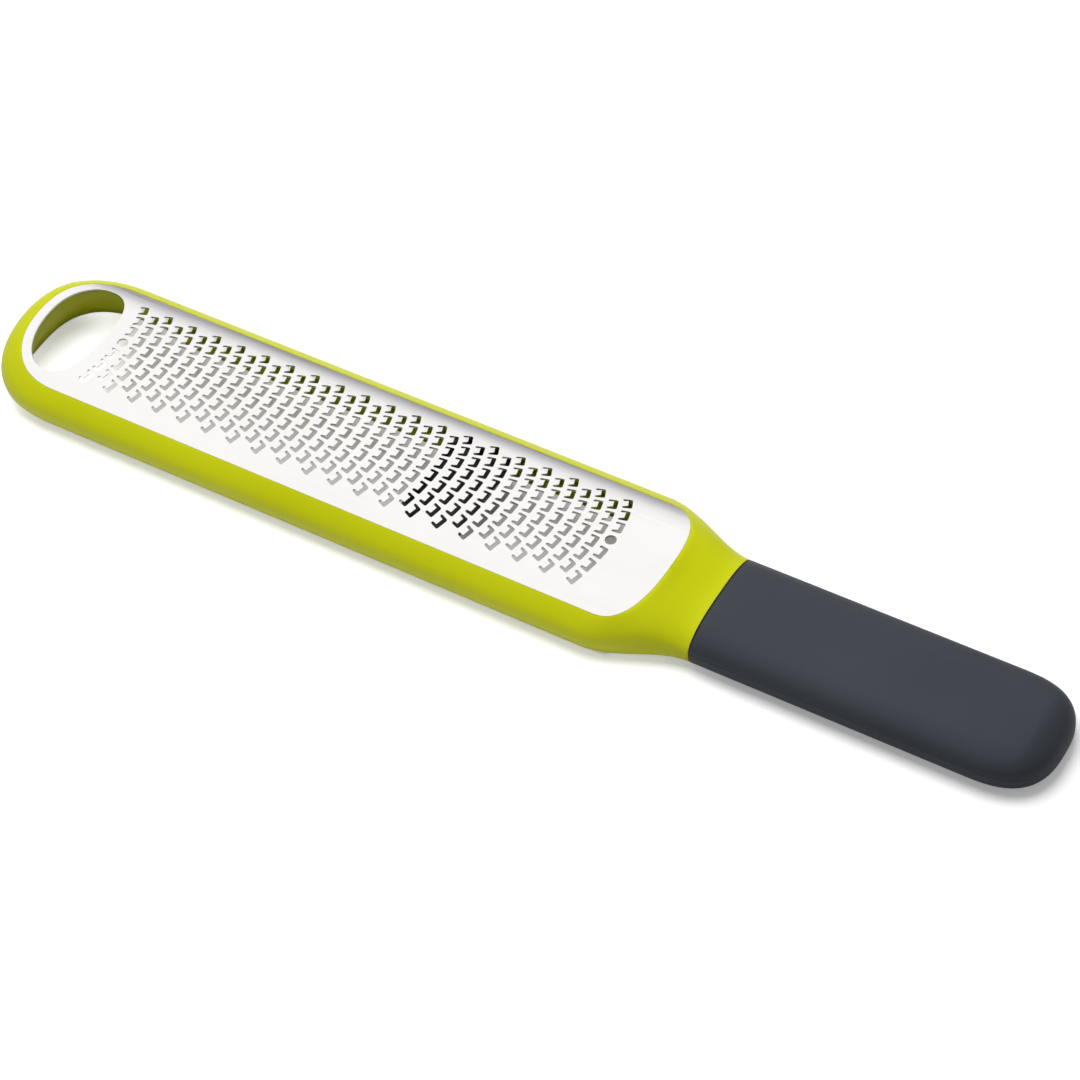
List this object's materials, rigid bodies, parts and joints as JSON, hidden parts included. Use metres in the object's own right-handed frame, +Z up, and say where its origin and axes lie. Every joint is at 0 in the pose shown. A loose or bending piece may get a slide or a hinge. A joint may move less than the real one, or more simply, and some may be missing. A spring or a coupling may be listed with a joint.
{
  "type": "citrus zester",
  "caption": "Hand-held citrus zester with a crowned steel plate of raised teeth in a moulded frame, a soft grip, a hanging hole and a wiper that slides under the plate.",
  "frame": {"origin": "centre of the bounding box at its bottom, on the surface that the zester lies on", "axes": "+X along the tool from the tip to the grip's butt, +Y across it, +Z up through the plate"},
  "size_m": [0.2832, 0.0454, 0.0144],
  "materials": {
    "green_plastic": "satin moulded, lime green",
    "steel_plate": "fine satin, etched edges",
    "soft_grip": "soft-touch matte, dark grey",
    "dark_plastic": "matte, near black",
    "soft_lip": "matte, near black"
  },
  "bodies": {
    "handle": {"frame": "green_plastic", "grater_plate": "steel_plate", "grip": "soft_grip"},
    "wiper": {"wiper_carrier": "dark_plastic", "wiper_lip": "soft_lip"}
  },
  "joints": [
    {"name": "wiper_slide", "type": "slide", "parent": "handle", "child": "wiper", "axis": [1, 0, 0], "range_m": [-0.0898, 0.0388]}
  ]
}
